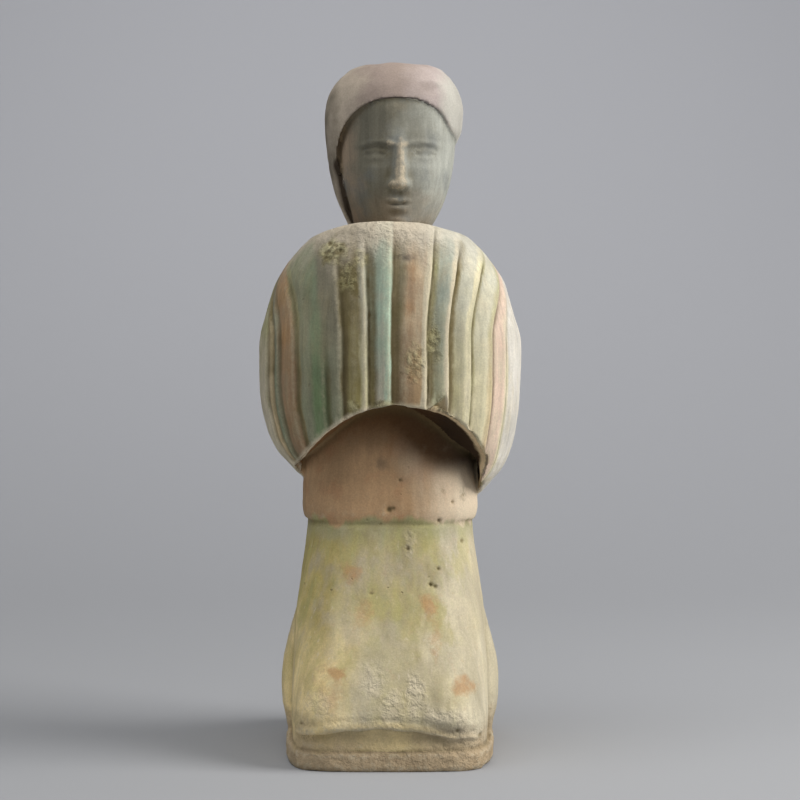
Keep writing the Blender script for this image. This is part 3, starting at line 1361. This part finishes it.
def stripes_on(tree, across, lower):
    """The stripes' colours over the place across the sleeves, above and below."""
    halves = []
    for way in (-1, 1):
        rows = [row for row in STRIPES if way * row[1] > way * STRIPES_PARTED]
        above = ramp(tree, across, [(edge, row[2]) for row in rows for edge in row[:2]])
        below = ramp(tree, across, [(edge, row[3]) for row in rows for edge in row[:2]])
        halves.append(mixed(tree, lower, above, below))
    return mixed(tree, calc(tree, "GREATER_THAN", across, STRIPES_PARTED), *halves)


def pleat_lines(tree, across, height):
    """The thin dark line in the fold of each pleat."""
    lines = 0.0
    for place, deepest, _, top in PLEATS:
        near = calc(tree, "ABSOLUTE", calc(tree, "SUBTRACT", across, place))
        line = span(tree, near, 0.018, 0.005, 0.0, deepest / 2.4)
        run = span(tree, height, metres((0.0, 0.0, top))[2], metres((0.0, 0.0, top - PLEAT_FADE))[2])
        lines = calc(tree, "MAXIMUM", lines, calc(tree, "MULTIPLY", line, run))
    return lines


def sleeve_paint(tree, clay, brush, at, shake):
    """The painted stripes, faded, dusty and streaked by the brush."""
    across = jittered(tree, mark(tree, "across"), (shake, 0.05))
    lower = span(tree, jittered(tree, at["Z"], (clay["Mottle"], 0.03)), 0.245, 0.195)
    dust = mixed(tree, span(tree, at["X"], -0.010, 0.020), "dust", "cream")
    dusty = span(tree, grain(tree, 120.0, 4.0, (1.0, 1.0, 0.35), 0.65), 0.47, 0.68, 0.0, 0.5)
    paint = mixed(tree, dusty, stripes_on(tree, across, lower), dust)
    return toned(tree, toned(tree, paint, brush["Streak"], 0.84, 1.12), clay["Cloud"], 0.88, 1.10)


def pleats_colour(tree, clay, brush, at, top):
    """Paint on the front and bare clay above it, with pale ridges and a dark line in each fold."""
    shake = calc(tree, "SUBTRACT", grain(tree, 160.0, 4.0, (1.0, 1.0, 0.4)), 0.5)
    front = span(tree, at["Y"], 0.012, -0.006)
    held = times(tree, front, span(tree, clay["Mottle"], 0.0, 1.0, 0.82, 1.0))
    paint = sleeve_paint(tree, clay, brush, at, shake)
    colour = mixed(tree, times(tree, held, top), shoulder_clay(tree, clay, at), paint)
    ridge = times(tree, mark(tree, "ridge"), span(tree, clay["Mottle"], 0.0, 0.8, 0.05, 0.45))
    colour = mixed(tree, ridge, colour, "cream")
    lines = pleat_lines(tree, jittered(tree, mark(tree, "across"), (shake, 0.012)), at["Z"])
    fold = times(tree, times(tree, lines, front), span(tree, clay["Mottle"], 0.0, 0.8, 0.45, 1.0))
    return mixed(tree, fold, colour, "fold")


def hem_colour(tree, clay, at, colour):
    """A colour that turns pale along the hem and sandy in its chip."""
    pale = times(tree, mark(tree, "hem line"), span(tree, clay["Mottle"], 0.0, 1.0, 0.35, 0.95))
    line = mixed(tree, span(tree, at["X"], -0.012, 0.004), "pale_rim", "cream")
    colour = mixed(tree, pale, colour, line)
    return mixed(tree, times(tree, mark(tree, "chip"), 0.85), colour, "sand")


def sleeves_inside(tree, clay, at):
    """The dark inside of the sleeves and the rim of their wall."""
    dark = inside_clay(tree, at, span(tree, at["X"], 0.008, 0.028))
    rim = mixed(tree, span(tree, at["X"], -0.012, 0.012), "pale_rim", "lit_rim")
    return mixed(tree, mark(tree, "hem"), dark, toned(tree, rim, clay["Mottle"], 0.70, 1.10))


def painted_sleeves():
    """The sleeves' painted pleats, faded and rubbed over pale clay."""
    material, tree, clay, brush, at = clay_material("painted pleats", 85.0, 0.45, 0.4, 420.0)
    top = span(tree, jittered(tree, at["Z"], (brush["Broad"], 0.012)), 0.266, 0.248, 0.12, 1.0)
    colour = pleats_colour(tree, clay, brush, at, top)
    colour = worn_paint(tree, colour, mixed(tree, 0.35, colour, "cream"), 0.40, 0.70)
    colour = hem_colour(tree, clay, at, colour)
    crust = frayed(tree, "crust", 0.9)
    lumps = span(tree, grain(tree, 300.0, 4.0, rough=0.6), 0.42, 0.60)
    crusty = mixed(tree, lumps, "crust_dark", mixed(tree, clay["Cloud"], "crust", "crust_pale"))
    colour = smudged(tree, mixed(tree, times(tree, crust, 0.75), colour, crusty), 0.7)
    within = span(tree, mark(tree, "inner"), 0.3, 0.7)
    colour = mixed(tree, within, colour, sleeves_inside(tree, clay, at))
    loose = calc(tree, "SUBTRACT", 1.0, span(tree, top, 0.12, 1.0))
    dressed(tree, colour, clay, 0.65, calc(tree, "MAXIMUM", crust, times(tree, loose, 0.5)))
    return material


def robe_wash(tree, clay, brush, at):
    """The robe's thin wash, ochre above and straw below, paler on the lit side and brushed on."""
    low = span(tree, jittered(tree, at["Z"], (clay["Mottle"], 0.040)), 0.115, 0.050)
    upper = ramp(tree, jittered(tree, at["X"], (clay["Cloud"], 0.010), (brush["Broad"], 0.008)), (
        (-0.040, "ochre"), (-0.024, "ochre"), (-0.008, "robe"),
        (0.024, "robe"), (0.040, "robe_pale"), (0.054, "robe_pink")))
    foot = ramp(tree, jittered(tree, at["X"], (clay["Cloud"], 0.016), (brush["Broad"], 0.008)), (
        (-0.046, "straw"), (-0.020, "straw"), (0.000, "robe_grey"),
        (0.020, "robe"), (0.040, "robe_pink"), (0.056, "robe_pale")))
    held = span(tree, at["Z"], 0.03, 0.08, 0.3, 1.0)
    held = times(tree, held, span(tree, at["X"], 0.046, 0.024, 0.3, 1.0))
    streak = times(tree, span(tree, brush["Streak"], 0.45, 1.0, 0.0, 0.5), held)
    wash = mixed(tree, streak, mixed(tree, low, upper, foot), "robe_green")
    wash = toned(tree, toned(tree, wash, brush["Broad"], 0.84, 1.14), brush["Streak"], 0.88, 1.10)
    blotch = grain(tree, 78.0, 4.0, (1.0, 1.0, 0.45), 0.6)
    for none, full, pigment in ((0.50, 0.64, "robe_lilac"), (0.48, 0.36, "robe_moss")):
        wash = mixed(tree, times(tree, span(tree, blotch, none, full, 0.0, 0.6), held), wash, pigment)
    return wash


def robe_patches(tree, clay, wash):
    """A wash with its grey-green, orange and flaked patches and its pale flecks."""
    for name, pigment, most, fray in (
            ("green", "robe_grey", 0.55, 0.8), ("blush", "blush", 0.72, 1.8), ("flake", "flake", 0.55, 1.3)):
        wash = mixed(tree, times(tree, frayed(tree, name, fray), most), wash, pigment)
    fleck = span(tree, grain(tree, 620.0, 2.0, (1.0, 1.0, 0.16)), 0.62, 0.74, 0.0, 0.55)
    return mixed(tree, times(tree, fleck, clay["Cloud"]), wash, "flake")


def torso_clay(tree, clay, brush, at):
    """The warm bare torso, pale on the lit side, dark under the sleeves and plain at the back."""
    warm = mixed(tree, clay["Cloud"], "torso", "torso_dusk")
    warm = mixed(tree, span(tree, grain(tree, 62.0, 4.0), 0.50, 0.64, 0.0, 0.6), warm, "torso_red")
    warm = toned(tree, warm, brush["Streak"], 0.92, 1.08)
    pale = span(tree, jittered(tree, at["X"], (brush["Broad"], 0.012)), 0.010, 0.042)
    warm = mixed(tree, times(tree, pale, 0.9), warm, "torso_pale")
    dark = inside_clay(tree, at, span(tree, at["X"], 0.014, 0.036, 0.0, 0.6))
    warm = mixed(tree, span(tree, mark(tree, "inner"), 0.0, 1.0, 0.0, 0.95), warm, dark)
    return mixed(tree, mark(tree, "back"), warm, shoulder_clay(tree, clay, at))


def washed_robe():
    """The robe's thin yellow and green wash, the warm bare torso and the dull slab."""
    material, tree, clay, brush, at = clay_material("washed robe", 64.0, 0.42, 0.7, 300.0)
    seam = jittered(tree, at["Z"], (calc(tree, "SUBTRACT", brush["Broad"], 0.5), 0.006))
    wash = robe_patches(tree, clay, robe_wash(tree, clay, brush, at))
    wash = mixed(tree, span(tree, seam, 0.108, 0.116, 0.0, 0.5), wash, "robe_green")
    warm = torso_clay(tree, clay, brush, at)
    colour = mixed(tree, span(tree, seam, 0.1180, 0.1205), wash, warm)
    under = jittered(tree, at["Z"], (clay["Mottle"], 0.008))
    dull = mixed(tree, clay["Mottle"], "slab", "slab_dusk")
    colour = mixed(tree, span(tree, under, 0.028, 0.012), colour, dull)
    bright = span(tree, clay["Mottle"], 0.0, 1.0, 0.35, 1.0)
    colour = mixed(tree, times(tree, mark(tree, "recess"), bright), colour, "straw")
    lip = times(tree, mark(tree, "knee edge"), times(tree, bright, 0.85))
    colour = worn_paint(tree, mixed(tree, lip, colour, "straw"), "robe_pale", 0.30, 0.50)
    loose = span(tree, under, 0.040, 0.016, 0.0, 0.55)
    rubble = calc(tree, "MAXIMUM", times(tree, mark(tree, "flake"), 0.9), loose)
    dressed(tree, smudged(tree, colour, 0.4), clay, 0.65, rubble)
    return material


def hood_colour(tree, clay, at):
    """The hood's pinkish clay, greyer on the lit side and shaded on the other."""
    aside = jittered(tree, at["X"], (clay["Mottle"], 0.008))
    hood = ramp(tree, aside, (
        (-0.019, "hood_light"), (-0.004, "hood"), (0.010, "hood"),
        (0.024, "hood_pink"), (0.036, "hood_grey")))
    shade = times(tree, span(tree, aside, -0.018, -0.030), span(tree, at["Y"], 0.012, -0.008))
    hood = toned(tree, mixed(tree, shade, hood, "hood_shade"), clay["Cloud"], 0.88, 1.10)
    return worn_paint(tree, hood, "bare_clay", 0.2, 0.25)


def face_colour(tree, clay, brush, at):
    """The face's thin grey-green slip, browner below and rubbed down the middle."""
    slip = ramp(tree, jittered(tree, at["X"], (clay["Cloud"], 0.014)), (
        (-0.022, "slip_warm"), (-0.004, "slip_green"), (0.008, "slip_green"), (0.030, "slip_cool")))
    slip = mixed(tree, span(tree, clay["Mottle"], 0.5, 1.0, 0.0, 0.5), slip, "slip_blue")
    brown = span(tree, jittered(tree, at["Z"], (clay["Mottle"], 0.014)), 0.292, 0.270)
    slip = mixed(tree, times(tree, brown, 0.4), slip, "slip_brown")
    slip = toned(tree, slip, brush["Streak"], 0.88, 1.14)
    aside = calc(tree, "ABSOLUTE", calc(tree, "SUBTRACT", at["X"], 0.0035))
    rubbed = span(tree, aside, 0.0075, 0.0045, 0.0, 0.42)
    rubbed = times(tree, rubbed, span(tree, at["Z"], 0.276, 0.286, 0.5, 1.0))
    return worn_paint(tree, slip, "bare_clay", rubbed, 0.40)


def head_clay():
    """The smooth hood in pinkish clay and the face in a thin grey-green slip."""
    material, tree, clay, brush, at = clay_material("hood and slip", 75.0, 0.3, 0.3, 260.0)
    face = span(tree, mark(tree, "slip"), 0.3, 0.7)
    colour = mixed(tree, face, hood_colour(tree, clay, at), face_colour(tree, clay, brush, at))
    colour = mixed(tree, span(tree, mark(tree, "gap"), 0.15, 0.65, 0.0, 0.95), colour, "cheek_gap")
    dressed(tree, smudged(tree, colour, 0.3), clay, 0.35, times(tree, mark(tree, "edge"), 0.2))
    return material


def kept_inside(mesh, low, high):
    """Keeps every point of a mesh within the solid's box."""
    points = np.empty(3 * len(mesh.vertices))
    mesh.vertices.foreach_get("co", points)
    points = np.clip(points.reshape(-1, 3), low, high)
    mesh.vertices.foreach_set("co", points.ravel())
    mesh.update()


def thinned(figure, most):
    """The figure with no more than a number of triangles."""
    count = sum(len(face.vertices) - 2 for face in figure.data.polygons)
    thin = figure.modifiers.new("thin", "DECIMATE")
    thin.ratio = min(1.0, most / count)
    return baked(figure)


def make_floor():
    """A pale floor that sweeps up into a wall behind."""
    bm = bmesh.new()
    bmesh.ops.create_grid(bm, x_segments=1, y_segments=1, size=1.0)
    for vertex in bm.verts:
        depth = WALL_BEHIND if vertex.co.y > 0 else -FLOOR_AHEAD
        vertex.co = (FLOOR_HALF_WIDTH * vertex.co.x, depth, 0.0)
    far = [edge for edge in bm.edges if all(vertex.co.y > 0 for vertex in edge.verts)]
    for item in bmesh.ops.extrude_edge_only(bm, edges=far)["geom"]:
        if isinstance(item, bmesh.types.BMVert):
            item.co.z = WALL_HEIGHT
    bmesh.ops.bevel(
        bm, geom=far, offset=SWEEP, segments=SWEEP_STEPS, profile=0.5, affect="EDGES", material=-1)
    bmesh.ops.recalc_face_normals(bm, faces=bm.faces)
    floor = linked("floor", bm)
    floor.data.shade_smooth()
    paper = bpy.data.materials.new("pale grey paper")
    paper.use_nodes = True
    shader = paper.node_tree.nodes["Principled BSDF"]
    shader.inputs["Base Color"].default_value = (*PAPER_GREY, 1.0)
    shader.inputs["Roughness"].default_value = 0.95
    floor.data.materials.append(paper)


def make_light(name, azimuth, elevation, distance, size, watts, colour, target, spread):
    """A soft square light that looks at a target from an azimuth to the front and an elevation."""
    lamp = bpy.data.lights.new(name, "AREA")
    lamp.size = size
    lamp.spread = math.radians(spread)
    lamp.energy = watts
    lamp.color = colour
    turn, lift = math.radians(azimuth), math.radians(elevation)
    away = Vector((math.sin(turn) * math.cos(lift), -math.cos(turn) * math.cos(lift), math.sin(lift)))
    light = bpy.data.objects.new(name, lamp)
    light.location = away * distance + Vector(target)
    light.rotation_euler = away.to_track_quat("Z", "Y").to_euler()
    bpy.context.scene.collection.objects.link(light)


def light_studio():
    """A large key from one side, a weak fill from the other, and an even pale room."""
    for row in LIGHTS:
        make_light(*row)
    world = bpy.data.worlds.new("room")
    world.use_nodes = True
    background = world.node_tree.nodes["Background"]
    background.inputs["Color"].default_value = (*ROOM_LIGHT, 1.0)
    background.inputs["Strength"].default_value = ROOM_STRENGTH
    bpy.context.scene.world = world
    bpy.context.scene.view_settings.view_transform = "Standard"


def make_camera():
    """The camera, a little above the middle of the figure and tilted down."""
    camera = bpy.data.objects.new("camera", bpy.data.cameras.new("camera"))
    camera.data.lens = CAMERA_LENS
    camera.data.sensor_width = CAMERA_SENSOR
    camera.location = CAMERA_PLACE
    camera.rotation_euler = (math.radians(90.0 - CAMERA_TILT), 0.0, 0.0)
    bpy.context.scene.collection.objects.link(camera)
    bpy.context.scene.camera = camera


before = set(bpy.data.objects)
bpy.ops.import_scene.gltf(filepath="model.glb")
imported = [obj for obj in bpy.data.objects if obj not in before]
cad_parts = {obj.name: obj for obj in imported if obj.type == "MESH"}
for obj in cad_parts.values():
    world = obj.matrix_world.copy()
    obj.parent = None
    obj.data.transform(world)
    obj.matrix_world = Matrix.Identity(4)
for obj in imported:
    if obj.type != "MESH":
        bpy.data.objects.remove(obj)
cad_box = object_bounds()
make_camera()
make_floor()
light_studio()
figure = make_blank()
facts, across, edge = worked(figure)
kept_inside(figure.data, *cad_box)
mark_wear(figure.data, facts, across, edge)
figure = thinned(figure, MOST_TRIANGLES)
figure.data.shade_smooth()
make_clay_grain()
make_brush_streaks()
make_worn_paint()
make_ragged_patch()
finished(figure)
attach(figure, "root")
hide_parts(NODE)
